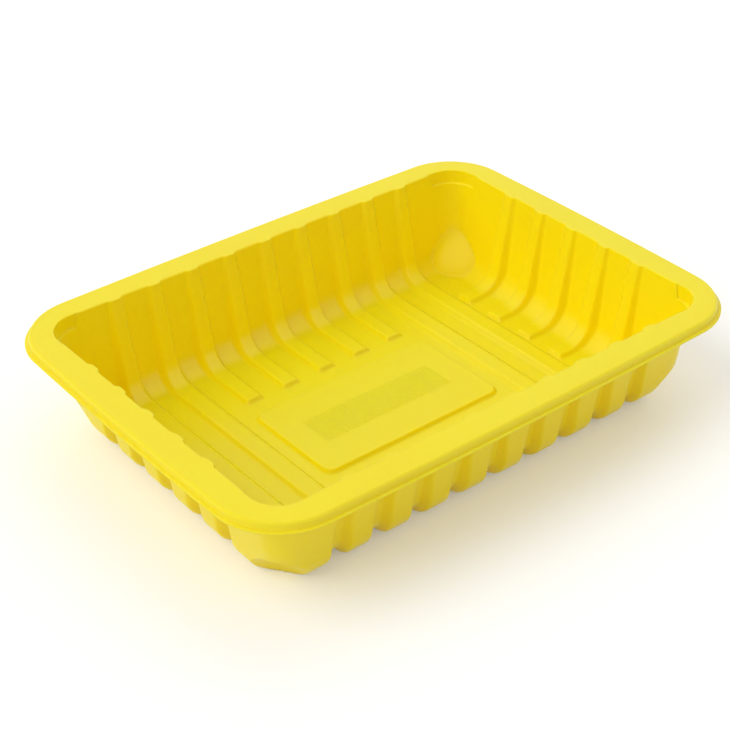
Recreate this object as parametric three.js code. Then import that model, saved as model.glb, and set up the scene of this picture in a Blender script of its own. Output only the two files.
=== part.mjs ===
import * as THREE from "three";
import { mergeVertices } from "three/addons/utils/BufferGeometryUtils.js";

// Plastic meat tray, formed from one sheet. Millimetres, +Z up, the long side along X.
// The upper skin of the sheet is built first, from the floor out to the trimmed lip; then it is thickened.

// Overall form
const HEIGHT = 43.2;
const SHEET = 0.5;
const HALF_X = 112.4;
const HALF_Y = 82.2;
const RIM_CORNER = 24;
const INNER_CORNER = 12.4;
const BOW = 1.5;

// Rim: flat flange, rounded fold, turned-down skirt and out-turned lip
const FLANGE = 9.6;
const FOLD_RADIUS = 1.2;
const SKIRT = 1.8;
const SKIRT_LEAN = 0.2;
const LIP = 1.3;

// Walls between the ribs
const EDGE_ROUND = 0.6;
const WALL_DRAFT = 0.139;
const FLOOR_FILLET = 11;

// Ribs: they stand inward from the walls and run on along the floor
const TAB_REACH = 1.3;
const TAB_ROUND = 0.4;
const RIB_DRAFT = 0.215;
const RIB_FILLET = 10;
const RIB_HEIGHT = 1.8;
const FACE_AT_RIM = 2.0;
const FACE_AT_FILLET = 2.9;
const FOOT_AT_RIM = 3.4;
const FOOT_AT_FILLET = 4.6;
const LONG_RIBS = 9;
const END_RIBS = 5;

// How far the middle of a wall's last rib stays from the start of the corner
const LONG_MARGIN = 19.4;
const END_MARGIN = 23.8;

// On the floor: the two outer ribs at each end of a long wall cross it, the others end bluntly
const CROSSING = 2;
const RIDGE_FACE = 3.5;
const RIDGE_FOOT = 5.2;
const BLUNT_FACE = 3.1;
const BLUNT_FOOT = 4.3;
const BLUNT_SLOPE = 0.9;

// Corners: a flat dome cuts off each corner of the floor, its centre measured outward from the corner's
// axis and down from the floor; a small stacking ledge runs under the flange
const CORNER_STEPS = 6;
const LEADS = 5;
const LEAD_STEP = 2.6;
const DOME_RADIUS = 24;
const DOME_OUT_X = 15;
const DOME_OUT_Y = 9;
const DOME_DROP = 6.3;
const LEDGE_DROP = 5.5;
const LEDGE_WIDTH = 1.1;
const LEDGE_DRAFT = 0.5;

// Raised panel in the middle of the floor
const PANEL_HALF_Y = 23.2;
const PANEL_CORNER = 4;
const PANEL_HEIGHT = 1.7;
const PANEL_SLOPE = 1.0;

// Gaps on the floor, between the feet of what stands on it
const PANEL_TO_RIDGE = 4.85;
const PANEL_TO_RIB = 7.8;
const RIB_TO_RIDGE = 0.1;

// Fineness of the curved runs
const FILLET_STEPS = 5;
const FOLD_STEPS = 3;
const PANEL_STEPS = 4;

// Keeps the thickening steady where the faces round a point are almost in one plane
const MITRE_EASE = 0.002;

const YELLOW = 0xf6e01c;

// The corner's axis, the ridges and the panel follow from the outline and the gaps
const AXIS_X = HALF_X - FLANGE - INNER_CORNER;
const AXIS_Y = HALF_Y - FLANGE - INNER_CORNER;
const LONG_PITCH = (AXIS_X - LONG_MARGIN) / ((LONG_RIBS - 1) / 2);
const END_PITCH = (AXIS_Y - END_MARGIN) / ((END_RIBS - 1) / 2);
const OUTER_RIDGE = AXIS_X - LONG_MARGIN;
const INNER_RIDGE = OUTER_RIDGE - (CROSSING - 1) * LONG_PITCH;
const PANEL_HALF_X = INNER_RIDGE - RIDGE_FOOT - PANEL_TO_RIDGE - PANEL_SLOPE;

const LONG = {
  reach: HALF_Y,
  axis: AXIS_X,
  pitch: LONG_PITCH,
  ribs: LONG_RIBS,
  end: PANEL_HALF_Y + PANEL_SLOPE + PANEL_TO_RIB,
};
const SHORT = {
  reach: HALF_X,
  axis: AXIS_Y,
  pitch: END_PITCH,
  ribs: END_RIBS,
  end: OUTER_RIDGE + RIDGE_FOOT + RIB_TO_RIDGE + BLUNT_SLOPE,
};

// The four walls in turn, counter-clockwise from the +X end: out is the distance from the centre to the
// wall's side and along is the distance to the left of the wall's middle, seen from above
const WALLS = [SHORT, LONG, SHORT, LONG];

function place(wall, out, along, z) {
  const turned = [[out, along], [-along, out], [-out, -along], [along, -out]][wall];
  return new THREE.Vector3(turned[0], turned[1], z);
}

function mix(a, b, t) {
  return a + (b - a) * t;
}

// How far a fillet of radius 1 between the level floor and a wall of this draft reaches along each
function tangentLength(draft) {
  return Math.tan((Math.PI / 2 - Math.atan(draft)) / 2);
}

// A point on the arc that leaves start toward corner and comes into end from corner
function arcPoint(start, corner, end, t, turn) {
  const weight = Math.cos(turn / 2);
  const a = (1 - t) * (1 - t);
  const b = 2 * t * (1 - t) * weight;
  const c = t * t;
  const sum = start.clone().multiplyScalar(a).addScaledVector(corner, b).addScaledVector(end, c);
  return sum.divideScalar(a + b + c);
}

function arc(start, corner, end, steps) {
  const turn = corner.clone().sub(start).angleTo(end.clone().sub(corner));
  return Array.from({ length: steps + 1 }, (_, i) => arcPoint(start, corner, end, i / steps, turn));
}

// The rim's sides bow outward a little, most at the middle of each side
function bowed(point) {
  const x = point.x / HALF_X;
  const y = point.y / HALF_Y;
  point.x += BOW * x * Math.max(0, 1 - y * y);
  point.y += BOW * y * Math.max(0, 1 - x * x);
  return point;
}

// The run from the flange's outer part over the fold and down the skirt to the lip's trimmed edge
function rimRun(rimAt, normal) {
  const at = (out, drop) => bowed(rimAt.clone()).addScaledVector(normal, out).setZ(HEIGHT - drop);
  const fold = arc(at(-FOLD_RADIUS, 0), at(0, 0), at(0, FOLD_RADIUS), FOLD_STEPS);
  const drop = FOLD_RADIUS + SKIRT;
  return [...fold, at(SKIRT_LEAN, drop), at(SKIRT_LEAN + LIP, drop)];
}

// One line up a wall: foot lines lie in the hollows between ribs, face lines on the ribs
function wallLine(wall, centre, sign, onFace, crosses) {
  const side = WALLS[wall];
  const round = onFace ? TAB_ROUND : EDGE_ROUND;
  const draft = onFace ? RIB_DRAFT : WALL_DRAFT;
  const edge = side.reach - FLANGE - (onFace ? TAB_REACH : 0);
  const rimHalf = onFace ? FACE_AT_RIM : FOOT_AT_RIM;
  const filletHalf = onFace ? FACE_AT_FILLET : FOOT_AT_FILLET;
  const floorHalf = floorHalfWidth(onFace, crosses);
  const floorZ = SHEET + (onFace ? RIB_HEIGHT : 0);
  const tangent = (onFace ? RIB_FILLET : FLOOR_FILLET) * tangentLength(draft);
  const filletZ = floorZ + tangent * Math.cos(Math.atan(draft));
  const outAt = (z) => edge - round - draft * (HEIGHT - z);
  const at = (out, half, z) => place(wall, out, centre + sign * half, z);
  const fillet = arc(
    at(outAt(floorZ) - tangent, floorHalf, floorZ),
    at(outAt(floorZ), filletHalf, floorZ),
    at(outAt(filletZ), filletHalf, filletZ),
    FILLET_STEPS,
  );
  const top = arc(
    at(outAt(HEIGHT - round), rimHalf, HEIGHT - round),
    at(outAt(HEIGHT), rimHalf, HEIGHT),
    at(edge, rimHalf, HEIGHT),
    2,
  );
  return [...fillet, ...top, ...rimRun(at(side.reach, rimHalf, HEIGHT), place(wall, 1, 0, 0))];
}

function floorHalfWidth(onFace, crosses) {
  if (onFace) return crosses ? RIDGE_FACE : BLUNT_FACE;
  return crosses ? RIDGE_FOOT : BLUNT_FOOT;
}

// The ribs of one wall, each with its four lines and its middle
function wallRibs(wall) {
  const side = WALLS[wall];
  const ribs = [];
  for (let i = 0; i < side.ribs; i += 1) {
    const centre = (i - (side.ribs - 1) / 2) * side.pitch;
    const crosses = side === LONG && (i < CROSSING || i >= side.ribs - CROSSING);
    const lines = [[-1, false], [-1, true], [1, true], [1, false]].map(
      ([sign, onFace]) => wallLine(wall, centre, sign, onFace, crosses),
    );
    ribs.push({ wall, centre, crosses, lines });
  }
  return ribs;
}

// A corner seen from the wall before it: its axis, the axis of the rim's outer arc, the middle of its dome
// and the two edges of the level floor, all as distances out from the centre and along the wall
function cornerPlan(wall) {
  const first = WALLS[wall];
  const second = WALLS[(wall + 1) % 4];
  const domeOut = [DOME_OUT_X, DOME_OUT_Y];
  if (wall % 2) domeOut.reverse();
  return {
    axis: new THREE.Vector2(second.axis, first.axis),
    rimAxis: new THREE.Vector2(first.reach - RIM_CORNER, second.reach - RIM_CORNER),
    dome: new THREE.Vector2(second.axis + domeOut[0], first.axis + domeOut[1]),
    floor: new THREE.Vector2(floorEdge(first), floorEdge(second)),
  };
}

// How far from the centre the level floor ends in the hollows of a wall
function floorEdge(side) {
  const foot = side.reach - FLANGE - EDGE_ROUND - WALL_DRAFT * (HEIGHT - SHEET);
  return foot - FLOOR_FILLET * tangentLength(WALL_DRAFT);
}

// Where the dome's foot on the floor meets the two floor edges, as angles about the dome's middle
function domeFoot(plan) {
  const radius = Math.sqrt(DOME_RADIUS ** 2 - DOME_DROP ** 2);
  const out = plan.dome.x - plan.floor.x;
  const along = plan.dome.y - plan.floor.y;
  return {
    radius,
    from: Math.PI + Math.acos(out / radius),
    to: Math.PI * 1.5 - Math.acos(along / radius),
  };
}

// The stations of a corner: leads on the first wall, equal steps round the axis, leads on the second wall.
// Each has the middle and angle of its line, its place on the rim and its foot on the floor.
function cornerStations(plan, ribBefore, ribAfter) {
  const stations = [];
  const rimBefore = ribBefore[ribBefore.length - 1].y;
  const rimAfter = ribAfter[ribAfter.length - 1].x;
  const foot = domeFoot(plan);
  const ring = (t) => {
    const angle = mix(foot.from, foot.to, t);
    return new THREE.Vector2(Math.cos(angle), Math.sin(angle)).multiplyScalar(foot.radius).add(plan.dome);
  };
  const share = (i) => (i + 1) / (LEADS + 1);
  for (let i = 0; i < LEADS; i += 1) {
    const along = plan.axis.y - (LEADS - i) * LEAD_STEP;
    stations.push({
      middle: new THREE.Vector2(plan.axis.x, along),
      angle: 0,
      rim: new THREE.Vector2(plan.rimAxis.x, mix(rimBefore, plan.rimAxis.y, share(i))),
      foot: ribBefore[0].clone().lerp(ring(0), share(i)),
    });
  }
  for (let i = 0; i <= CORNER_STEPS; i += 1) {
    const t = i / CORNER_STEPS;
    stations.push({
      middle: plan.axis, angle: (t * Math.PI) / 2, ledge: true, rim: plan.rimAxis, foot: ring(t),
    });
  }
  for (let i = 0; i < LEADS; i += 1) {
    stations.push({
      middle: new THREE.Vector2(plan.axis.x - (i + 1) * LEAD_STEP, plan.axis.y),
      angle: Math.PI / 2,
      rim: new THREE.Vector2(mix(plan.rimAxis.x, rimAfter, share(i)), plan.rimAxis.y),
      foot: ring(1).lerp(ribAfter[0], share(i)),
    });
  }
  return stations;
}

// The top of a corner line: the plain rounded edge on the leads, the stacking ledge elsewhere
function cornerTop(at, ledge) {
  if (!ledge) {
    const low = INNER_CORNER - EDGE_ROUND - WALL_DRAFT * EDGE_ROUND;
    const corner = at(INNER_CORNER - EDGE_ROUND, HEIGHT);
    return arc(at(low, HEIGHT - EDGE_ROUND), corner, at(INNER_CORNER, HEIGHT), 2);
  }
  const outer = INNER_CORNER - LEDGE_DRAFT;
  const shelf = HEIGHT - LEDGE_DROP;
  return [at(outer - LEDGE_WIDTH, shelf), at(outer, shelf), at(INNER_CORNER, HEIGHT)];
}

// Carries a point that lies within the dome to its surface, away from a pole behind the corner
function domed(point, dome, pole) {
  const ray = point.clone().sub(pole).normalize();
  const offset = point.clone().sub(dome);
  const inside = DOME_RADIUS ** 2 - offset.lengthSq();
  if (inside <= 0) return point.clone();
  const across = ray.dot(offset);
  return point.clone().addScaledVector(ray, Math.sqrt(across ** 2 + inside) - across);
}

// The place on a path where it enters the dome from above, or its plain end where it doesn't
function creaseOn(path, dome) {
  const isInside = (s) => path(s).distanceTo(dome) < DOME_RADIUS;
  const sought = Array.from({ length: 80 }, (_, i) => 2 - i / 40).find(isInside);
  if (sought === undefined) return 1;
  let low = sought;
  let high = sought + 1 / 40;
  for (let i = 0; i < 20; i += 1) {
    const middle = (low + high) / 2;
    if (isInside(middle)) low = middle;
    else high = middle;
  }
  return low;
}

// One line of a corner. Its path is the fillet up to 1 and the wall up to 2; what lies within the dome is
// carried to the dome's surface.
function cornerLine(wall, plan, station) {
  const flat = (v, z) => place(wall, v.x, v.y, z);
  const normal = flat(new THREE.Vector2(Math.cos(station.angle), Math.sin(station.angle)), 0);
  const at = (radius, z) => flat(station.middle, z).addScaledVector(normal, radius);
  const radiusAt = (z) => INNER_CORNER - EDGE_ROUND - WALL_DRAFT * (HEIGHT - z);
  const turn = Math.PI / 2 - Math.atan(WALL_DRAFT);
  const filletZ = SHEET + FLOOR_FILLET * tangentLength(WALL_DRAFT) * Math.cos(Math.atan(WALL_DRAFT));
  const foot = flat(station.foot, SHEET);
  const top = cornerTop(at, station.ledge);
  const high = at(radiusAt(filletZ), filletZ);
  const path = (s) => {
    if (s <= 1) return arcPoint(foot, at(radiusAt(SHEET), SHEET), high, s, turn);
    return high.clone().lerp(top[0], s - 1);
  };
  const dome = flat(plan.dome, SHEET - DOME_DROP);
  const pole = flat(plan.dome.clone().addScalar(DOME_RADIUS / 4), SHEET - 2 * DOME_DROP);
  const crease = creaseOn(path, dome);
  const low = Array.from({ length: FILLET_STEPS + 1 }, (_, i) => {
    return domed(path((crease * i) / FILLET_STEPS), dome, pole);
  });
  low[0].setZ(SHEET);
  return [...low, ...top, ...rimRun(flat(station.rim, HEIGHT).addScaledVector(normal, RIM_CORNER), normal)];
}

// The lines of the corner that follows a wall, between that wall's last rib and the next wall's first
function cornerLines(wall, before, after) {
  const plan = cornerPlan(wall);
  const turned = place(wall, 1, 0, 0);
  const onPlan = (v) => {
    return new THREE.Vector2(v.x * turned.x + v.y * turned.y, v.y * turned.x - v.x * turned.y);
  };
  const stations = cornerStations(plan, before.map(onPlan), after.map(onPlan));
  return stations.map((station) => cornerLine(wall, plan, station));
}

// Collects triangles of the skin; every face is wound so that it looks into the tray or outward past the rim
class Skin {
  constructor() {
    this.points = [];
  }

  triangle(a, b, c) {
    this.points.push(a, b, c);
  }

  quad(a, b, c, d) {
    this.triangle(a, b, c);
    this.triangle(a, c, d);
  }

  // Fills the strip between two lines with the same number of points
  strip(left, right) {
    for (let i = 0; i + 1 < left.length; i += 1) {
      this.quad(left[i], left[i + 1], right[i + 1], right[i]);
    }
  }

  // Fills a flat outline, with holes, at the height of its points
  flat(outline, holes = []) {
    const plan = (ring) => ring.map((v) => new THREE.Vector2(v.x, v.y));
    const all = [outline, ...holes].flat();
    for (const [a, b, c] of THREE.ShapeUtils.triangulateShape(plan(outline), holes.map(plan))) {
      this.triangle(all[a], all[b], all[c]);
    }
  }

  geometry() {
    const soup = new THREE.BufferGeometry().setFromPoints(this.points);
    return mergeVertices(soup, 1e-4);
  }
}

// A blunt rib on the floor: its two slanted sides, its top and its end; returns the two corners of its foot
function bluntRib(skin, rib) {
  const side = WALLS[rib.wall];
  const corner = (sign, half, out, z) => place(rib.wall, out, rib.centre + sign * half, z);
  const top = SHEET + RIB_HEIGHT;
  const ends = [
    corner(-1, BLUNT_FOOT, side.end, SHEET),
    corner(-1, BLUNT_FACE, side.end + BLUNT_SLOPE, top),
    corner(1, BLUNT_FACE, side.end + BLUNT_SLOPE, top),
    corner(1, BLUNT_FOOT, side.end, SHEET),
  ];
  const starts = rib.lines.map((line) => line[0]);
  for (let i = 0; i < 3; i += 1) {
    skin.quad(starts[i], starts[i + 1], ends[i + 1], ends[i]);
  }
  skin.quad(ends[0], ends[1], ends[2], ends[3]);
  return [ends[0], ends[3]];
}

// A ridge that runs across the floor from a rib of one long wall to the rib facing it
function ridge(skin, near, far) {
  const starts = near.lines.map((line) => line[0]);
  const ends = far.lines.map((line) => line[0]).reverse();
  for (let i = 0; i < 3; i += 1) {
    skin.quad(starts[i], starts[i + 1], ends[i + 1], ends[i]);
  }
}

// The floor's outline along a run of ribs of one wall: it goes round the foot of each blunt rib
function ribFeet(ribs, feet) {
  return ribs.flatMap((rib) => [rib.lines[0][0], ...feet.get(rib), rib.lines[3][0]]);
}

function roundedRing(halfX, halfY, radius, z) {
  const ring = [];
  for (let quarter = 0; quarter < 4; quarter += 1) {
    const signX = [1, -1, -1, 1][quarter];
    const signY = [1, 1, -1, -1][quarter];
    for (let i = 0; i <= PANEL_STEPS; i += 1) {
      const angle = (quarter + i / PANEL_STEPS) * (Math.PI / 2);
      const x = signX * (halfX - radius) + radius * Math.cos(angle);
      const y = signY * (halfY - radius) + radius * Math.sin(angle);
      ring.push(new THREE.Vector3(x, y, z));
    }
  }
  return ring;
}

// The raised panel: its top and its slanted edge; returns the ring of its foot
function panel(skin) {
  const foot = roundedRing(
    PANEL_HALF_X + PANEL_SLOPE, PANEL_HALF_Y + PANEL_SLOPE, PANEL_CORNER + PANEL_SLOPE, SHEET,
  );
  const top = roundedRing(PANEL_HALF_X, PANEL_HALF_Y, PANEL_CORNER, SHEET + PANEL_HEIGHT);
  foot.forEach((point, i) => {
    const next = (i + 1) % foot.length;
    skin.quad(point, foot[next], top[next], top[i]);
  });
  skin.flat(top);
  return foot;
}

function floor(skin, ribs, corners) {
  const feet = new Map();
  for (const rib of ribs.flat()) {
    feet.set(rib, rib.crosses ? [] : bluntRib(skin, rib));
  }
  const [, back, , front] = ribs;
  const last = LONG_RIBS - 1;
  front.forEach((rib, i) => {
    if (rib.crosses) ridge(skin, rib, back[last - i]);
  });
  endFloor(skin, front[last], corners[3], ribFeet(ribs[0], feet), corners[0], back[0]);
  endFloor(skin, back[last], corners[1], ribFeet(ribs[2], feet), corners[2], front[0]);
  for (const i of [0, last - 1]) {
    const near = [front[i].lines[3][0], front[i + 1].lines[0][0]];
    const far = [back[last - i - 1].lines[3][0], back[last - i].lines[0][0]];
    skin.flat([...near, ...far]);
  }
  const inner = (run) => ribFeet(run.slice(CROSSING, -CROSSING), feet);
  const outline = [
    front[CROSSING - 1].lines[3][0], ...inner(front), front[last + 1 - CROSSING].lines[0][0],
    back[CROSSING - 1].lines[3][0], ...inner(back), back[last + 1 - CROSSING].lines[0][0],
  ];
  skin.flat(outline, [panel(skin)]);
}

// The flat floor between an end wall and the first ridge
function endFloor(skin, ribBefore, cornerBefore, feet, cornerAfter, ribAfter) {
  const starts = (corner) => corner.map((line) => line[0]);
  const wallEdge = [...starts(cornerBefore), ...feet, ...starts(cornerAfter)];
  skin.flat([ribBefore.lines[3][0], ...wallEdge, ribAfter.lines[0][0]]);
}

function upperSkin() {
  const skin = new Skin();
  const ribs = [0, 1, 2, 3].map(wallRibs);
  const corners = ribs.map((run, wall) => {
    const next = ribs[(wall + 1) % 4];
    return cornerLines(wall, run[run.length - 1].lines[3], next[0].lines[0]);
  });
  const lines = ribs.flatMap((run, wall) => [...run.flatMap((rib) => rib.lines), ...corners[wall]]);
  lines.forEach((line, i) => skin.strip(line, lines[(i + 1) % lines.length]));
  floor(skin, ribs, corners);
  return skin.geometry();
}

// Adds one face at a point, weighed by its angle there, to the sums that fix how the point moves
function addFace(sums, normal, weight) {
  const [x, y, z] = normal;
  const m = sums.planes.elements;
  [x * x, x * y, x * z, y * x, y * y, y * z, z * x, z * y, z * z].forEach((value, i) => {
    m[i] += weight * value;
  });
  sums.normal.addScaledVector(normal, weight);
}

// Moves each point so that every face round it ends up one sheet thickness below where it was; the
// underside of the floor stays flat
function loweredPoints(points, faces) {
  const zero = () => new THREE.Matrix3().multiplyScalar(0);
  const all = points.map(() => ({ planes: zero(), normal: new THREE.Vector3() }));
  const triangle = new THREE.Triangle();
  for (const face of faces) {
    triangle.set(...face.map((i) => points[i]));
    const normal = triangle.getNormal(new THREE.Vector3());
    face.forEach((index, k) => {
      const toNext = points[face[(k + 1) % 3]].clone().sub(points[index]);
      const toLast = points[face[(k + 2) % 3]].clone().sub(points[index]);
      addFace(all[index], normal, toNext.angleTo(toLast));
    });
  }
  return points.map((point, i) => {
    const { planes, normal } = all[i];
    [0, 4, 8].forEach((k) => {
      planes.elements[k] += MITRE_EASE;
    });
    normal.addScaledVector(normal.clone().normalize(), MITRE_EASE);
    const lower = normal.applyMatrix3(planes.invert()).multiplyScalar(-SHEET).add(point);
    return lower.setZ(Math.max(lower.z, 0));
  });
}

// Edges that only one face uses, in that face's direction
function openEdges(faces) {
  const used = new Set(faces.flatMap(([a, b, c]) => [`${a},${b}`, `${b},${c}`, `${c},${a}`]));
  return [...used].map((key) => key.split(",").map(Number)).filter(([a, b]) => !used.has(`${b},${a}`));
}

// Gives the skin its thickness: a second skin below it and a narrow band round the trimmed edge
function thickened(skin) {
  const position = skin.getAttribute("position");
  const index = Array.from(skin.getIndex().array);
  const pointAt = (_, i) => new THREE.Vector3().fromBufferAttribute(position, i);
  const points = Array.from({ length: position.count }, pointAt);
  const faces = Array.from({ length: index.length / 3 }, (_, i) => index.slice(3 * i, 3 * i + 3));
  const lower = loweredPoints(points, faces);
  const shift = points.length;
  const solid = [...faces, ...faces.map(([a, b, c]) => [a + shift, c + shift, b + shift])];
  for (const [a, b] of openEdges(faces)) {
    solid.push([a, a + shift, b + shift], [a, b + shift, b]);
  }
  const geometry = new THREE.BufferGeometry().setFromPoints([...points, ...lower]);
  geometry.setIndex(solid.flat());
  geometry.computeVertexNormals();
  return geometry;
}

const sheet = new THREE.MeshStandardMaterial({ color: YELLOW, roughness: 0.25 });
const tray = new THREE.Mesh(thickened(upperSkin()), sheet);
tray.name = "tray";

const part = new THREE.Group();
part.name = "meat_tray";
part.add(tray);

export default part;
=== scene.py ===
"""A plastic meat tray formed from one glossy yellow sheet, on a pale floor in soft studio light.

The tray is built as the upper skin of its sheet: lines run up from the floor, over the wall's ribs and the
flat rim, down the skirt and out to the trimmed lip. The skin is then given the sheet's thickness.
Metres, +Z up, the long side along X, the origin under the middle of the floor.
"""

import math

import bpy
from mathutils import Matrix, Vector
from mathutils.geometry import delaunay_2d_cdt


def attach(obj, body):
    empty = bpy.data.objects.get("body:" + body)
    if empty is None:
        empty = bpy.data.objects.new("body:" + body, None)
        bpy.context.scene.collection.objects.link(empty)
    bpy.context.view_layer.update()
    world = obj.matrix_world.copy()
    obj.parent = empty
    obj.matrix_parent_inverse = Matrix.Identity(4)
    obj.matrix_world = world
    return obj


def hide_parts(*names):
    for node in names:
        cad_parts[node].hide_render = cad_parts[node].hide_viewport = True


bl_info = {
    "name": "Meat Tray",
    "version": (1, 0, 0),
    "blender": (4, 5, 0),
    "location": "View3D > Sidebar > Meat Tray",
    "description": "Builds a ribbed plastic food tray with its material and a plain studio",
    "category": "Add Mesh",
}

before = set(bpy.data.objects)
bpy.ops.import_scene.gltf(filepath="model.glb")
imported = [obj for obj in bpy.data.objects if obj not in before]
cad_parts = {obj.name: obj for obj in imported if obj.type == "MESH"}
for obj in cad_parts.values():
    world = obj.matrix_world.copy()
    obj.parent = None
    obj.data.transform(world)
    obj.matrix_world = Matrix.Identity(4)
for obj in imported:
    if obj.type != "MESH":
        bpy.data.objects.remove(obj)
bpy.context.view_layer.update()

# Overall form
HEIGHT = 0.0432
SHEET = 0.0005
HALF_X = 0.1124
HALF_Y = 0.0822
RIM_CORNER = 0.024
INNER_CORNER = 0.0124
BOW = 0.0015

# Rim: flat flange, rounded fold, turned-down skirt and out-turned lip
FLANGE = 0.0096
FOLD_RADIUS = 0.0012
SKIRT = 0.0018
SKIRT_LEAN = 0.0002
LIP = 0.00129
LIP_ROUND = 0.0004

# Walls between the ribs
EDGE_ROUND = 0.0006
WALL_DRAFT = 0.139
FLOOR_FILLET = 0.011

# Ribs: half widths at the rim, where the floor fillet starts and on the floor
TAB_REACH = 0.0013
TAB_ROUND = 0.0004
RIB_DRAFT = 0.215
RIB_FILLET = 0.010
RIB_HEIGHT = 0.0018
FACE_HALF = {"rim": 0.0020, "fillet": 0.0029, "blunt": 0.0031, "ridge": 0.0035}
FOOT_HALF = {"rim": 0.0034, "fillet": 0.0046, "blunt": 0.0043, "ridge": 0.0052}
BLUNT_SLOPE = 0.0009
CROSSING = 2

# Each kind of wall: distance from the centre, the corner's axis, rib pitch and number, and how far from the
# centre its blunt ribs end on the floor
AXIS_X = HALF_X - FLANGE - INNER_CORNER
AXIS_Y = HALF_Y - FLANGE - INNER_CORNER
LONG = {"reach": HALF_Y, "axis": AXIS_X, "pitch": 0.01775, "ribs": 9, "end": 0.032}
SHORT = {"reach": HALF_X, "axis": AXIS_Y, "pitch": 0.0182, "ribs": 5, "end": 0.0772}
WALLS = (SHORT, LONG, SHORT, LONG)

# Corners: a flat dome cuts off each corner of the floor, its centre measured outward from the corner's axis
# and down from the floor; a small stacking ledge runs under the flange
CORNER_STEPS = 24
LEADS = 20
LEAD_STEP = 0.00065
DOME_RADIUS = 0.024
DOME_OUT_X = 0.015
DOME_OUT_Y = 0.009
DOME_DROP = 0.0063
DOME_EASE = 0.0007
LEDGE_DROP = 0.0055
LEDGE_WIDTH = 0.0011
LEDGE_DRAFT = 0.0005
LEDGE_ROUND = 0.0006
LEDGE_LIP_ROUND = 0.0003
LEDGE_LEAD = 0.0015
LEDGE_END = 0.0013

# Steps round each kind of curve, up the wall and out over the flange
FILLET_STEPS = 14
ROUND_STEPS = 8
RIB_EDGE_STEPS = 4
LIP_STEPS = 3
WALL_STEPS = 4
FLANGE_STEPS = 3
PANEL_CORNER_STEPS = 10

# The step to the sheet's other side: what keeps it short where the faces leave it free, and its greatest
# length in thicknesses
MITRE_EASE = 0.002
MITRE_LIMIT = 1.6

# Where a corner line enters the dome: first tried at even steps, then halved; points that fall into one cell
# of the grid are one point; the least distance that the floor's triangles tell apart
CREASE_STEPS = 40
CREASE_HALVINGS = 20
CELLS_A_METRE = 1e7
FLOOR_TOLERANCE = 1e-9

# Raised panel in the middle of the floor
PANEL_HALF_X = 0.0422
PANEL_HALF_Y = 0.0232
PANEL_CORNER = 0.004
PANEL_HEIGHT = 0.0017
PANEL_SLOPE = 0.0010
LINE_RADIUS = 0.00018
LINE_SIDES = 8

# Plastic: how fine its cloudy colour, uneven gloss, waviness and mottle are, in features a metre, with the
# depth of the last two; its roughness where it is glossiest and where it is dullest; how deep light scatters
# in it, and how far each of its colours goes
CLOUD_SCALE = 22.0
SMEAR_SCALE = 90.0
WAVE_SCALE = 60.0
MOTTLE_SCALE = 900.0
WAVE_DEPTH = 0.0005
MOTTLE_DEPTH = 0.00003
GLOSSY, DULL = 0.3, 0.42
SCATTER_DEPTH = 0.0007
SCATTER_SPREAD = (1.0, 0.95, 0.1)

# Studio: half the floor's width, how much the floor is lifted where it is seen, and for each lamp its width,
# its lean and heading in degrees, and whether the plastic mirrors it
FLOOR_REACH = 3.0
FLOOR_LIFT = 0.22
KEY_BEAM = (50, (44, 0, -108), False)
FILL_BEAM = (60, (45, 0, 130), False)
TOP_BEAM = (30, (34, 0, 60), True)

# Camera: the photograph's viewpoint
CAMERA_PLACE = (-0.34178, -0.41962, 0.38169)
CAMERA_TARGET = (-0.02594, -0.02469, HEIGHT)
CAMERA_ROLL = -0.52
CAMERA_LENS = 83.57


def srgb(code):
    """The linear colour of an sRGB hex code."""
    parts = [int(code[i : i + 2], 16) / 255 for i in (1, 3, 5)]
    linear = [c / 12.92 if c <= 0.04045 else ((c + 0.055) / 1.055) ** 2.4 for c in parts]
    return (*linear, 1.0)


class TraySettings(bpy.types.PropertyGroup):
    """The sizes and colours of the tray that a user would change."""

    thickness: bpy.props.FloatProperty(
        name="Sheet thickness", description="Thickness of the formed sheet", default=SHEET, unit="LENGTH"
    )
    edge_ease: bpy.props.FloatProperty(
        name="Edge ease",
        description="How much of a rib's slanted side is taken up by the rounding at its foot and face",
        default=0.35,
        min=0.05,
        max=0.38,
        subtype="FACTOR",
    )
    line_count: bpy.props.IntProperty(
        name="Fine lines", description="Number of fine raised lines on the panel", default=48, min=2
    )
    line_pitch: bpy.props.FloatProperty(
        name="Line pitch", description="Distance between the fine lines", default=0.0013, unit="LENGTH"
    )
    line_length: bpy.props.FloatProperty(
        name="Line length", description="Length of each fine line", default=0.016, unit="LENGTH"
    )
    colour: bpy.props.FloatVectorProperty(
        name="Colour",
        description="Main colour of the plastic",
        default=srgb("#FFE60E"),
        size=4,
        subtype="COLOR",
    )
    deep_colour: bpy.props.FloatVectorProperty(
        name="Deep colour",
        description="Colour where the plastic is a little thicker",
        default=srgb("#FCE00A"),
        size=4,
        subtype="COLOR",
    )


class StudioSettings(bpy.types.PropertyGroup):
    """The colours and light levels of the studio."""

    floor_colour: bpy.props.FloatVectorProperty(
        name="Floor colour",
        description="Colour of the floor",
        default=srgb("#F2F2F0"),
        size=4,
        subtype="COLOR",
    )
    grain_colour: bpy.props.FloatVectorProperty(
        name="Floor grain",
        description="Colour of the floor's faint grain",
        default=srgb("#F0F0EE"),
        size=4,
        subtype="COLOR",
    )
    key_strength: bpy.props.FloatProperty(
        name="Key light", description="Strength of the lamp at the back left", default=1.25
    )
    fill_strength: bpy.props.FloatProperty(
        name="Fill light", description="Strength of the lamp at the back right", default=0.5
    )
    top_strength: bpy.props.FloatProperty(
        name="Top light", description="Strength of the lamp above", default=0.04
    )
    sky_strength: bpy.props.FloatProperty(
        name="Sky light", description="Strength of the light from all round", default=0.7
    )


# Geometry of the skin


def mix(a, b, t):
    return a + (b - a) * t


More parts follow.
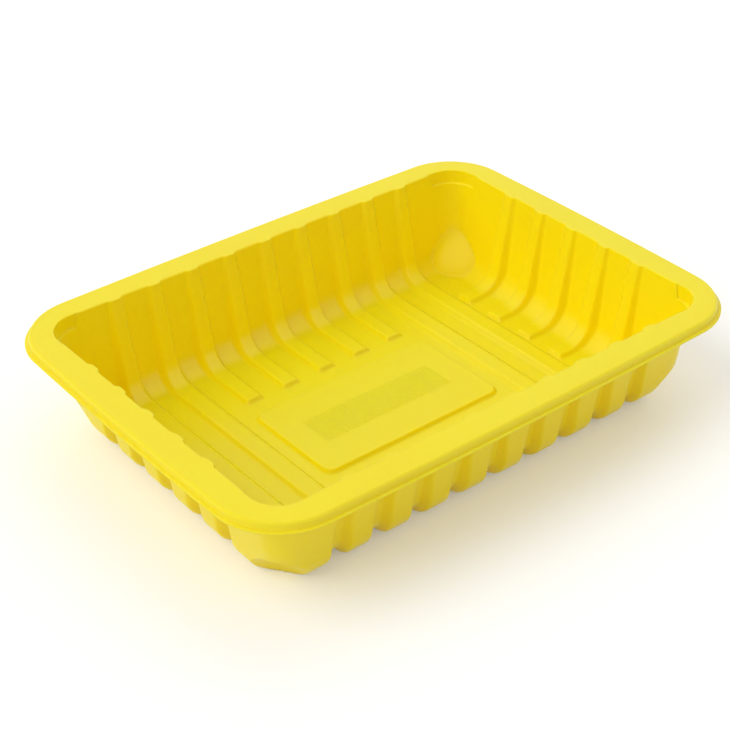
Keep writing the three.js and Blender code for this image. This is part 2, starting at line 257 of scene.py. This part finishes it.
def place(wall, out, along, z):
    """A point at a distance out from the centre toward a wall and along it, counter-clockwise."""
    x, y = ((out, along), (-along, out), (-out, -along), (along, -out))[wall]
    return Vector((x, y, z))


def arc_point(start, corner, end, t, turn):
    """A point on the arc that leaves start toward corner and comes into end from corner."""
    a, b, c = (1 - t) ** 2, 2 * t * (1 - t) * math.cos(turn / 2), t * t
    return (start * a + corner * b + end * c) / (a + b + c)


def arc(start, corner, end, steps):
    turn = (corner - start).angle(end - corner, 0.0)
    return [arc_point(start, corner, end, i / steps, turn) for i in range(steps + 1)]


def run(start, end, steps):
    """Points between two points, without the two themselves."""
    return [start.lerp(end, i / steps) for i in range(1, steps)]


def tangent_length(draft):
    return math.tan((math.pi / 2 - math.atan(draft)) / 2)


def bowed(point):
    """Moves a rim point out a little, most at the middle of each side."""
    x, y = point.x / HALF_X, point.y / HALF_Y
    shift = Vector((BOW * x * max(0, 1 - y * y), BOW * y * max(0, 1 - x * x), 0))
    return point + shift


def rim_run(rim_point, normal):
    """From the flange's outer part over the fold and down the skirt to the lip's trimmed edge."""

    def at(out, drop):
        point = bowed(rim_point) + normal * out
        return Vector((point.x, point.y, HEIGHT - drop))

    drop = FOLD_RADIUS + SKIRT
    fold = arc(at(-FOLD_RADIUS, 0), at(0, 0), at(0, FOLD_RADIUS), ROUND_STEPS)
    bend = (at(SKIRT_LEAN, drop - LIP_ROUND), at(SKIRT_LEAN, drop), at(SKIRT_LEAN + LIP_ROUND, drop))
    return [*fold, *arc(*bend, LIP_STEPS), at(SKIRT_LEAN + LIP, drop)]


def wall_line(wall, on_face, floor_kind, half):
    """One line up a wall, in the hollows or on the rib faces. half gives its distance along the wall at the
    rim, at the fillet and on the floor."""
    side = WALLS[wall]
    round_, draft = (TAB_ROUND, RIB_DRAFT) if on_face else (EDGE_ROUND, WALL_DRAFT)
    edge = side["reach"] - FLANGE - (TAB_REACH if on_face else 0)
    floor_z = SHEET + (RIB_HEIGHT if on_face else 0)
    tangent = (RIB_FILLET if on_face else FLOOR_FILLET) * tangent_length(draft)
    fillet_z = floor_z + tangent * math.cos(math.atan(draft))

    def at(key, z, out=None):
        if out is None:
            out = edge - round_ - draft * (HEIGHT - z)
        return place(wall, out, half(key), z)

    foot = at(floor_kind, floor_z, edge - round_ - draft * (HEIGHT - floor_z) - tangent)
    fillet = arc(foot, at("fillet", floor_z), at("fillet", fillet_z), FILLET_STEPS)
    top = arc(at("rim", HEIGHT - round_), at("rim", HEIGHT), at("rim", HEIGHT, edge), ROUND_STEPS)
    rim = rim_run(at("rim", HEIGHT, side["reach"]), place(wall, 1, 0, 0))
    flange = run(top[-1], rim[0], FLANGE_STEPS)
    return [*fillet, *run(fillet[-1], top[0], WALL_STEPS), *top, *flange, *rim]


def side_path(ease):
    """The rounded section of a rib's slanted side: (how far from foot to face, how much of the height)."""
    foot = arc(Vector((-ease, 0)), Vector((0, 0)), Vector((ease, ease)), RIB_EDGE_STEPS)
    face = arc(Vector((1 - ease, 1 - ease)), Vector((1, 1)), Vector((1 + ease, 1)), RIB_EDGE_STEPS)
    return [(p.x, p.y) for p in (*foot, *face)]


def rib_section(ease):
    """The whole section of a rib: (side, how far from foot to face, how much of the height)."""
    path = side_path(ease)
    return [(-1, s, w) for s, w in path] + [(1, s, w) for s, w in reversed(path)]


def half_width(key, s):
    return mix(FOOT_HALF[key], FACE_HALF[key], s)


def rib_lines(wall, centre, kind, ease):
    """The lines up one rib, from its foot on one side to its foot on the other."""
    lines = []
    for sign, s, w in rib_section(ease):
        pair = [
            wall_line(wall, on_face, kind, lambda key, s=s: centre + sign * half_width(key, s))
            for on_face in (False, True)
        ]
        lines.append([low.lerp(high, w) for low, high in zip(*pair)])
    return lines


def wall_ribs(wall, ease):
    side = WALLS[wall]
    ribs = []
    for i in range(side["ribs"]):
        centre = (i - (side["ribs"] - 1) / 2) * side["pitch"]
        crosses = side is LONG and (i < CROSSING or i >= side["ribs"] - CROSSING)
        kind = "ridge" if crosses else "blunt"
        lines = rib_lines(wall, centre, kind, ease)
        ribs.append({"wall": wall, "centre": centre, "kind": kind, "lines": lines})
    return ribs


def floor_edge(side):
    """How far from the centre the level floor ends in the hollows of a wall."""
    foot = side["reach"] - FLANGE - EDGE_ROUND - WALL_DRAFT * (HEIGHT - SHEET)
    return foot - FLOOR_FILLET * tangent_length(WALL_DRAFT)


def corner_plan(wall):
    """A corner seen from the wall before it: its axis, the axis of the rim's outer arc, the middle of its
    dome and the dome's foot between the two edges of the level floor, all as (out, along)."""
    first, second = WALLS[wall], WALLS[(wall + 1) % 4]
    out_by, along_by = (DOME_OUT_Y, DOME_OUT_X) if wall % 2 else (DOME_OUT_X, DOME_OUT_Y)
    dome = Vector((second["axis"] + out_by, first["axis"] + along_by))
    radius = math.sqrt(DOME_RADIUS**2 - DOME_DROP**2)
    start = math.pi + math.acos((dome.x - floor_edge(first)) / radius)
    end = math.pi * 1.5 - math.acos((dome.y - floor_edge(second)) / radius)
    steps = [mix(start, end, i / CORNER_STEPS) for i in range(CORNER_STEPS + 1)]
    return {
        "axis": Vector((second["axis"], first["axis"])),
        "rim": Vector((first["reach"] - RIM_CORNER, second["reach"] - RIM_CORNER)),
        "dome": dome,
        "foot": [dome + Vector((math.cos(a), math.sin(a))) * radius for a in steps],
    }


def corner_stations(plan, before, after):
    """Leads on the first wall, equal steps round the axis, leads on the second wall. Each has the middle and
    angle of its line, its place on the rim, its foot on the floor and its share of the stacking ledge."""
    axis, rim, foot = plan["axis"], plan["rim"], plan["foot"]

    def ledge(distance):
        return min(1, max(0, (LEDGE_LEAD + LEDGE_END - distance) / LEDGE_END))

    stations = []
    for i in range(LEADS):
        back, share = (LEADS - i) * LEAD_STEP, (i + 1) / (LEADS + 1)
        rim_at, middle = Vector((rim.x, mix(before[-1].y, rim.y, share))), axis - Vector((0, back))
        stations.append((middle, 0.0, rim_at, before[0].lerp(foot[0], share), ledge(back)))
    for i in range(CORNER_STEPS + 1):
        stations.append((axis, i / CORNER_STEPS * math.pi / 2, rim, foot[i], 1.0))
    for i in range(LEADS):
        back, share = (i + 1) * LEAD_STEP, (i + 1) / (LEADS + 1)
        rim_at, middle = Vector((mix(rim.x, after[-1].x, share), rim.y)), axis - Vector((back, 0))
        stations.append((middle, math.pi / 2, rim_at, foot[-1].lerp(after[0], share), ledge(back)))
    return stations


def corner_top(at, ledge):
    """The top of a corner line: a plain rounded edge, the stacking ledge, or a share of each."""
    low = INNER_CORNER - EDGE_ROUND - WALL_DRAFT * EDGE_ROUND
    rounded = arc(at(low, EDGE_ROUND), at(INNER_CORNER - EDGE_ROUND, 0), at(INNER_CORNER, 0), ROUND_STEPS)
    outer = INNER_CORNER - LEDGE_DRAFT
    inner, drop, soft = outer - LEDGE_WIDTH, LEDGE_DROP, LEDGE_LIP_ROUND
    # Four points, three points and two: as many as the rounded edge has
    stepped = [
        *arc(at(inner, drop + LEDGE_ROUND), at(inner, drop), at(inner + LEDGE_ROUND, drop), 3),
        *arc(at(outer - soft, drop), at(outer, drop), at(outer, drop - soft), 2),
        at(INNER_CORNER - soft, soft),
        at(INNER_CORNER, 0),
    ]
    return [a.lerp(b, ledge) for a, b in zip(rounded, stepped)]


def domed(point, dome, pole):
    """Carries a point that lies within the dome to its surface, away from a pole behind the corner; the
    crease that this leaves is eased."""
    ray, offset = (point - pole).normalized(), point - dome
    inside = DOME_RADIUS**2 - offset.length_squared
    if inside <= 0:
        return point
    across = ray.dot(offset)
    ease = max(0, 1 - inside / (2 * DOME_RADIUS * DOME_EASE))
    return point + ray * (math.sqrt(across**2 + inside) - across) * (1 - ease**2)


def crease_on(path, dome):
    """The place on a path where it enters the dome from above, but at least the fillet's end."""
    tries = [i / CREASE_STEPS for i in range(2 * CREASE_STEPS, -1, -1)]
    inside = [s for s in tries if (path(s) - dome).length < DOME_RADIUS]
    if not inside:
        return 1.0
    low, high = inside[0], inside[0] + 1 / CREASE_STEPS
    for _ in range(CREASE_HALVINGS):
        middle = (low + high) / 2
        if (path(middle) - dome).length < DOME_RADIUS:
            low = middle
        else:
            high = middle
    return max(1.0, low)


def corner_line(wall, plan, station):
    """One line of a corner. Its path is the fillet up to 1 and the wall up to 2; what lies within the dome is
    carried to the dome's surface."""
    middle, angle, rim_at, foot_at, ledge = station
    normal = place(wall, math.cos(angle), math.sin(angle), 0)
    turn = math.pi / 2 - math.atan(WALL_DRAFT)
    fillet_z = SHEET + FLOOR_FILLET * tangent_length(WALL_DRAFT) * math.cos(math.atan(WALL_DRAFT))

    def at(out, drop):
        return place(wall, *middle, HEIGHT - drop) + normal * out

    def wall_at(z):
        return at(INNER_CORNER - EDGE_ROUND - WALL_DRAFT * (HEIGHT - z), HEIGHT - z)

    top = corner_top(at, ledge)
    foot, low, high = place(wall, *foot_at, SHEET), wall_at(SHEET), wall_at(fillet_z)

    def path(s):
        return arc_point(foot, low, high, s, turn) if s <= 1 else high.lerp(top[0], s - 1)

    dome = place(wall, *plan["dome"], SHEET - DOME_DROP)
    behind = plan["dome"] + Vector((1, 1)) * DOME_RADIUS / 4
    pole = place(wall, *behind, SHEET - 2 * DOME_DROP)
    crease = crease_on(path, dome)
    climb = [path(crease * i / FILLET_STEPS) for i in range(1, FILLET_STEPS + 1)]
    lower = [foot, *(domed(point, dome, pole) for point in climb)]
    upper = [path(mix(crease, 2, i / WALL_STEPS)) for i in range(1, WALL_STEPS)]
    rim = rim_run(place(wall, *rim_at, HEIGHT) + normal * RIM_CORNER, normal)
    return [*lower, *upper, *top, *run(top[-1], rim[0], FLANGE_STEPS), *rim]


def corner_lines(wall, before, after):
    """The lines between a wall's last rib and the next wall's first."""
    turned = place(wall, 1, 0, 0)

    def on_plan(v):
        return Vector((v.x * turned.x + v.y * turned.y, v.y * turned.x - v.x * turned.y))

    plan = corner_plan(wall)
    stations = corner_stations(plan, [on_plan(v) for v in before], [on_plan(v) for v in after])
    return [corner_line(wall, plan, station) for station in stations]


def area_normal(ring):
    """The normal of a ring of points, as long as the area within it."""
    arms = [p - ring[0] for p in ring[1:]]
    return sum((a.cross(b) for a, b in zip(arms, arms[1:])), Vector((0, 0, 0))) / 2


class Skin:
    """Collects the faces of the skin, each wound to look into the tray or outward past the rim."""

    def __init__(self):
        self.points = []
        self.faces = []
        self.known = {}

    def index(self, point):
        key = tuple(round(c * CELLS_A_METRE) for c in point)
        if key not in self.known:
            self.known[key] = len(self.points)
            self.points.append(tuple(point))
        return self.known[key]

    def face(self, *points):
        corners = [self.index(p) for p in points]
        corners = [c for i, c in enumerate(corners) if c != corners[i - 1]]
        if len(corners) > 2:
            self.faces.append(corners)

    def strip(self, left, right):
        for i in range(len(left) - 1):
            self.face(left[i], left[i + 1], right[i + 1], right[i])

    def grid(self, rows):
        for left, right in zip(rows, rows[1:]):
            self.strip(left, right)

    def flat(self, outline, hole=()):
        """Fills a level outline, all but its hole, with triangles; the hole is convex."""
        points = [*outline, *hole]
        rings = [list(range(len(outline))), list(range(len(outline), len(points)))]
        if area_normal(outline).z < 0:
            rings[0].reverse()
        plan = [p.to_2d() for p in points]
        filled = delaunay_2d_cdt(plan, [], [ring for ring in rings if ring], 1, FLOOR_TOLERANCE)
        triangles, source = filled[2:4]
        for triangle in triangles:
            corners = [source[i][0] for i in triangle]
            if min(corners) < len(outline):
                self.face(*(points[i] for i in corners))


def blunt_rib(skin, rib, ease):
    """A rib's run on the floor to its blunt end; returns the outline of its foot."""
    end = WALLS[rib["wall"]]["end"]
    rows = [[line[0] for line in rib["lines"]]]
    for q, share in reversed(side_path(ease)):
        row = []
        for sign, s, w in rib_section(ease):
            along = rib["centre"] + sign * half_width("blunt", s)
            row.append(place(rib["wall"], end + BLUNT_SLOPE * q, along, SHEET + RIB_HEIGHT * w * share))
        rows.append(row)
    for nearer, farther in zip(rows, rows[1:]):
        skin.strip(nearer, farther)
    return [*(row[0] for row in rows), *rows[-1][1:-1], *(row[-1] for row in reversed(rows))]


def ridge(skin, near, far):
    starts = [line[0] for line in near["lines"]]
    ends = [line[0] for line in reversed(far["lines"])]
    skin.strip(starts, ends)


def rounded_ring(half_x, half_y, radius, z):
    ring = []
    for quarter, (sx, sy) in enumerate(((1, 1), (-1, 1), (-1, -1), (1, -1))):
        for i in range(PANEL_CORNER_STEPS + 1):
            angle = (quarter + i / PANEL_CORNER_STEPS) * math.pi / 2
            x = sx * (half_x - radius) + radius * math.cos(angle)
            y = sy * (half_y - radius) + radius * math.sin(angle)
            ring.append(Vector((x, y, z)))
    return ring


def panel(skin, ease):
    """The raised panel: its rounded edge and its top; returns the ring of its foot."""
    rings = []
    for s, w in side_path(ease):
        grow = PANEL_SLOPE * (1 - s)
        size = (PANEL_HALF_X + grow, PANEL_HALF_Y + grow, PANEL_CORNER + grow)
        rings.append(rounded_ring(*size, SHEET + PANEL_HEIGHT * w))
    for outer, inner in zip(rings, rings[1:]):
        for i, point in enumerate(outer):
            skin.face(point, outer[(i + 1) % len(outer)], inner[(i + 1) % len(outer)], inner[i])
    skin.flat(rings[-1])
    return rings[0]


def floor_edges(ribs, feet):
    """The floor's edge along a run of ribs: it goes round the foot of each."""
    return [p for rib in ribs for p in feet[id(rib)]]


def end_floor(skin, rib_before, corner_before, edge, corner_after, rib_after):
    outline = [rib_before["lines"][-1][0], *(line[0] for line in corner_before), *edge]
    outline += [*(line[0] for line in corner_after), rib_after["lines"][0][0]]
    skin.flat(outline)


def floor(skin, ribs, corners, ease):
    feet = {}
    for rib in (rib for wall in ribs for rib in wall):
        feet[id(rib)] = blunt_rib(skin, rib, ease) if rib["kind"] == "blunt" else []
    right, back, left, front = ribs
    for near, far in zip(front, reversed(back)):
        if near["kind"] == "ridge":
            ridge(skin, near, far)
    end_floor(skin, front[-1], corners[3], floor_edges(right, feet), corners[0], back[0])
    end_floor(skin, back[-1], corners[1], floor_edges(left, feet), corners[2], front[0])
    facing = back[::-1]
    for i in (0, len(front) - 2):
        near = [front[i]["lines"][-1][0], front[i + 1]["lines"][0][0]]
        far = [facing[i + 1]["lines"][-1][0], facing[i]["lines"][0][0]]
        skin.flat([*near, *far])
    outline = []
    for wall in (front, back):
        between = floor_edges(wall[CROSSING:-CROSSING], feet)
        outline += [wall[CROSSING - 1]["lines"][-1][0], *between, wall[-CROSSING]["lines"][0][0]]
    skin.flat(outline, panel(skin, ease))


def upper_skin(ease):
    skin = Skin()
    ribs = [wall_ribs(wall, ease) for wall in range(4)]
    corners, lines = [], []
    for wall in range(4):
        corners.append(corner_lines(wall, ribs[wall][-1]["lines"][-1], ribs[(wall + 1) % 4][0]["lines"][0]))
        lines += [line for rib in ribs[wall] for line in rib["lines"]] + corners[wall]
    skin.grid([*lines, lines[0]])
    floor(skin, ribs, corners, ease)
    return skin


# Objects and materials


def mitred(areas, thickness):
    """The step from a vertex of the skin to the sheet's other side, a thickness from its faces, of which the
    larger count for more. areas are the faces' normals, as long as their areas."""
    whole = sum(area.length for area in areas)
    grown = Matrix(((MITRE_EASE, 0, 0), (0, MITRE_EASE, 0), (0, 0, MITRE_EASE)))
    pull = Vector((0, 0, 0))
    for area in areas:
        if area.length > 0:
            n = area.normalized()
            grown += Matrix([n * c for c in n]) * (area.length / whole)
            pull -= area / whole
    step = grown.inverted() @ pull
    return step * thickness * min(1, MITRE_LIMIT / step.length)


def thickened(skin, thickness):
    """Points and faces of the closed sheet: the skin, its other side and the trimmed edge between them."""
    around = [[] for _ in skin.points]
    edges = {}
    for face in skin.faces:
        area = area_normal([Vector(skin.points[i]) for i in face])
        for i, j in zip(face, face[1:] + face[:1]):
            around[i].append(area)
            edges[(i, j)] = True
    count = len(skin.points)
    other = [tuple(Vector(p) + mitred(n, thickness)) for p, n in zip(skin.points, around)]
    faces = skin.faces + [[i + count for i in reversed(face)] for face in skin.faces]
    faces += [[j, i, i + count, j + count] for i, j in edges if (j, i) not in edges]
    return skin.points + other, faces


def new_object(name, points, faces):
    mesh = bpy.data.meshes.new(name)
    mesh.from_pydata(points, [], faces)
    mesh.update()
    obj = bpy.data.objects.new(name, mesh)
    bpy.context.scene.collection.objects.link(obj)
    return obj


def apply_modifiers(obj):
    """Turns the object's modifiers into its own mesh."""
    depsgraph = bpy.context.evaluated_depsgraph_get()
    mesh = bpy.data.meshes.new_from_object(obj.evaluated_get(depsgraph), depsgraph=depsgraph)
    obj.modifiers.clear()
    old = obj.data
    obj.data = mesh
    bpy.data.meshes.remove(old)


def join_tree(obj):
    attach(obj, "root")


def node(tree, kind, settings=None, **inputs):
    """Adds a node to a tree; inputs are values, or sockets to link from."""
    made = tree.nodes.new(kind)
    for key, value in (settings or {}).items():
        setattr(made, key, value)
    for name, value in inputs.items():
        socket = made.inputs[name.replace("_", " ")]
        if isinstance(value, bpy.types.NodeSocket):
            tree.links.new(value, socket)
        else:
            socket.default_value = value
    return made


def new_tree(name):
    material = bpy.data.materials.get(name) or bpy.data.materials.new(name)
    material.use_nodes = True
    material.node_tree.nodes.clear()
    return material, material.node_tree


def two_tones(tree, noise, first, second):
    """Two colours that run into each other by a noise."""
    tint = node(tree, "ShaderNodeMix", {"data_type": "RGBA"}, Factor=noise.outputs["Fac"])
    tint.inputs[6].default_value = first
    tint.inputs[7].default_value = second
    return tint.outputs[2]


def polypropylene(settings):
    """Glossy, slightly translucent yellow polypropylene sheet: faint cloudy colour, uneven gloss and the soft
    waviness that a formed sheet keeps, with a very fine mottle on top."""
    material, tree = new_tree("yellow_polypropylene")
    place_on = node(tree, "ShaderNodeTexCoord").outputs["Object"]
    cloud = node(tree, "ShaderNodeTexNoise", Vector=place_on, Scale=CLOUD_SCALE, Detail=3.0)
    tint = two_tones(tree, cloud, settings.colour, settings.deep_colour)
    smear = node(tree, "ShaderNodeTexNoise", Vector=place_on, Scale=SMEAR_SCALE, Detail=2.0)
    gloss = node(tree, "ShaderNodeMapRange", Value=smear.outputs["Fac"], To_Min=GLOSSY, To_Max=DULL)
    wave = node(tree, "ShaderNodeTexNoise", Vector=place_on, Scale=WAVE_SCALE, Detail=1.0)
    mottle = node(tree, "ShaderNodeTexNoise", Vector=place_on, Scale=MOTTLE_SCALE, Detail=2.0)
    broad = node(tree, "ShaderNodeBump", Height=wave.outputs["Fac"], Strength=0.2, Distance=WAVE_DEPTH)
    fine = node(
        tree,
        "ShaderNodeBump",
        Height=mottle.outputs["Fac"],
        Strength=0.25,
        Distance=MOTTLE_DEPTH,
        Normal=broad.outputs["Normal"],
    )
    surface = node(
        tree,
        "ShaderNodeBsdfPrincipled",
        Base_Color=tint,
        Roughness=gloss.outputs["Result"],
        Normal=fine.outputs["Normal"],
        IOR=1.49,
    )
    surface.inputs["Subsurface Weight"].default_value = 1.0
    surface.inputs["Subsurface Radius"].default_value = SCATTER_SPREAD
    surface.inputs["Subsurface Scale"].default_value = SCATTER_DEPTH
    node(tree, "ShaderNodeOutputMaterial", Surface=surface.outputs["BSDF"])
    return material


def rays_that_see_white(tree):
    """1 for the rays that show the background itself: camera, glossy and transmission rays."""
    path = node(tree, "ShaderNodeLightPath")
    either = node(tree, "ShaderNodeMath", {"operation": "MAXIMUM"})
    tree.links.new(path.outputs["Is Camera Ray"], either.inputs[0])
    tree.links.new(path.outputs["Is Glossy Ray"], either.inputs[1])
    all_three = node(tree, "ShaderNodeMath", {"operation": "MAXIMUM"})
    tree.links.new(either.outputs["Value"], all_three.inputs[0])
    tree.links.new(path.outputs["Is Transmission Ray"], all_three.inputs[1])
    return all_three.outputs["Value"]


def white_floor(settings):
    """Matt white studio paper; seen directly it is lifted to white and keeps the tray's shadow."""
    material, tree = new_tree("studio_paper")
    place_on = node(tree, "ShaderNodeTexCoord").outputs["Object"]
    grain = node(tree, "ShaderNodeTexNoise", Vector=place_on, Scale=1.0, Detail=2.0)
    tint = two_tones(tree, grain, settings.floor_colour, settings.grain_colour)
    paper = node(tree, "ShaderNodeBsdfDiffuse", Color=tint)
    seen = node(tree, "ShaderNodeMath", {"operation": "MULTIPLY"})
    tree.links.new(rays_that_see_white(tree), seen.inputs[0])
    seen.inputs[1].default_value = FLOOR_LIFT
    lift = node(tree, "ShaderNodeEmission", Strength=seen.outputs["Value"])
    both = node(tree, "ShaderNodeAddShader")
    tree.links.new(paper.outputs["BSDF"], both.inputs[0])
    tree.links.new(lift.outputs["Emission"], both.inputs[1])
    node(tree, "ShaderNodeOutputMaterial", Surface=both.outputs["Shader"])
    return material


def studio_world(settings):
    world = bpy.data.worlds.new("studio")
    world.use_nodes = True
    tree = world.node_tree
    tree.nodes.clear()
    soft = node(tree, "ShaderNodeBackground", Strength=settings.sky_strength)
    white = node(tree, "ShaderNodeBackground", Strength=1.0)
    chosen = node(tree, "ShaderNodeMixShader", Fac=rays_that_see_white(tree))
    tree.links.new(soft.outputs["Background"], chosen.inputs[1])
    tree.links.new(white.outputs["Background"], chosen.inputs[2])
    node(tree, "ShaderNodeOutputWorld", Surface=chosen.outputs["Shader"])
    bpy.context.scene.world = world


def line_group(settings, material):
    """Geometry Nodes that repeat one fine raised line along X and give all of them their material."""
    tree = bpy.data.node_groups.new("fine_lines", "GeometryNodeTree")
    tree.interface.new_socket("Geometry", in_out="OUTPUT", socket_type="NodeSocketGeometry")
    span = settings.line_pitch * (settings.line_count - 1)
    row = node(tree, "GeometryNodeMeshLine", {"mode": "OFFSET"}, Count=settings.line_count)
    row.inputs["Start Location"].default_value = (-span / 2, 0, SHEET + PANEL_HEIGHT)
    row.inputs["Offset"].default_value = (settings.line_pitch, 0, 0)
    path = node(tree, "GeometryNodeCurvePrimitiveLine")
    path.inputs["Start"].default_value = (0, -settings.line_length / 2, 0)
    path.inputs["End"].default_value = (0, settings.line_length / 2, 0)
    ring = node(tree, "GeometryNodeCurvePrimitiveCircle", Resolution=LINE_SIDES, Radius=LINE_RADIUS)
    bar = node(
        tree, "GeometryNodeCurveToMesh", Curve=path.outputs["Curve"], Profile_Curve=ring.outputs["Curve"]
    )
    bar.inputs["Fill Caps"].default_value = True
    many = node(
        tree, "GeometryNodeInstanceOnPoints", Points=row.outputs["Mesh"], Instance=bar.outputs["Mesh"]
    )
    real = node(tree, "GeometryNodeRealizeInstances", Geometry=many.outputs["Instances"])
    finished = node(tree, "GeometryNodeSetMaterial", Geometry=real.outputs["Geometry"], Material=material)
    node(tree, "NodeGroupOutput", Geometry=finished.outputs["Geometry"])
    return tree


def look_from(place_at, target, roll):
    """The camera's matrix at a place, looking at a target, turned about its own axis."""
    back = (Vector(place_at) - Vector(target)).normalized()
    right = Vector((0, 0, 1)).cross(back).normalized()
    up = back.cross(right)
    turn = Matrix.Rotation(math.radians(roll), 3, "Z")
    basis = Matrix((right, up, back)).transposed() @ turn
    return Matrix.Translation(Vector(place_at)) @ basis.to_4x4()


class MEAT_TRAY_OT_shell(bpy.types.Operator):
    """Build the tray's formed sheet and give it its plastic"""

    bl_idname = "meat_tray.shell"
    bl_label = "Tray shell"

    def execute(self, context):
        settings = context.scene.tray_settings
        skin = upper_skin(settings.edge_ease)
        shell = new_object("tray_shell", *thickened(skin, settings.thickness))
        shell.data.polygons.foreach_set("use_smooth", [True] * len(shell.data.polygons))
        shell.modifiers.new("shading", "WEIGHTED_NORMAL")
        apply_modifiers(shell)
        shell.data.materials.append(polypropylene(settings))
        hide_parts("tray")
        join_tree(shell)
        return {"FINISHED"}


class MEAT_TRAY_OT_lines(bpy.types.Operator):
    """Build the plain fine lines on the raised panel"""

    bl_idname = "meat_tray.lines"
    bl_label = "Panel lines"

    def execute(self, context):
        settings = context.scene.tray_settings
        lines = new_object("panel_lines", [], [])
        material = polypropylene(settings)
        lines.modifiers.new("repeat", "NODES").node_group = line_group(settings, material)
        apply_modifiers(lines)
        join_tree(lines)
        return {"FINISHED"}


class MEAT_TRAY_OT_stage(bpy.types.Operator):
    """Build the studio: floor, lamps, surroundings and camera"""

    bl_idname = "meat_tray.stage"
    bl_label = "Studio"

    def execute(self, context):
        settings = context.scene.studio_settings
        reach = FLOOR_REACH
        corners = [(-reach, -reach, 0), (reach, -reach, 0), (reach, reach, 0), (-reach, reach, 0)]
        ground = new_object("studio_floor", corners, [(0, 1, 2, 3)])
        ground.data.materials.append(white_floor(settings))
        self.sun(context, "key", settings.key_strength, *KEY_BEAM)
        self.sun(context, "fill", settings.fill_strength, *FILL_BEAM)
        self.sun(context, "top", settings.top_strength, *TOP_BEAM)
        studio_world(settings)
        self.camera(context)
        context.scene.view_settings.view_transform = "Standard"
        return {"FINISHED"}

    def sun(self, context, name, strength, width, turn, mirrored):
        """A broad distant lamp; turn is how far its beam leans from straight down, and which way. One that
        isn't mirrored lights the plastic without a highlight."""
        data = bpy.data.lights.new(name, "SUN")
        data.energy = strength
        data.angle = math.radians(width)
        lamp = bpy.data.objects.new(name, data)
        lamp.rotation_euler = [math.radians(v) for v in turn]
        lamp.visible_glossy = mirrored
        context.scene.collection.objects.link(lamp)

    def camera(self, context):
        data = bpy.data.cameras.new("camera")
        data.lens = CAMERA_LENS
        data.sensor_width = 36.0
        data.clip_start = 0.01
        camera = bpy.data.objects.new("camera", data)
        camera.matrix_world = look_from(CAMERA_PLACE, CAMERA_TARGET, CAMERA_ROLL)
        context.scene.collection.objects.link(camera)
        context.scene.camera = camera


class MEAT_TRAY_PT_panel(bpy.types.Panel):
    """The tray's sizes, colours and pieces"""

    bl_label = "Meat Tray"
    bl_idname = "MEAT_TRAY_PT_panel"
    bl_space_type = "VIEW_3D"
    bl_region_type = "UI"
    bl_category = "Meat Tray"

    def draw(self, context):
        for settings in (context.scene.tray_settings, context.scene.studio_settings):
            for name in settings.__annotations__:
                self.layout.prop(settings, name)
        for operator in OPERATORS:
            self.layout.operator(operator.bl_idname)


OPERATORS = (MEAT_TRAY_OT_shell, MEAT_TRAY_OT_lines, MEAT_TRAY_OT_stage)
CLASSES = (TraySettings, StudioSettings, *OPERATORS, MEAT_TRAY_PT_panel)


def register():
    for cls in CLASSES:
        bpy.utils.register_class(cls)
    bpy.types.Scene.tray_settings = bpy.props.PointerProperty(type=TraySettings)
    bpy.types.Scene.studio_settings = bpy.props.PointerProperty(type=StudioSettings)


def unregister():
    del bpy.types.Scene.studio_settings
    del bpy.types.Scene.tray_settings
    for cls in reversed(CLASSES):
        bpy.utils.unregister_class(cls)


def main():
    register()
    bpy.ops.meat_tray.shell()
    bpy.ops.meat_tray.lines()
    bpy.ops.meat_tray.stage()


if __name__ == "__main__":
    main()
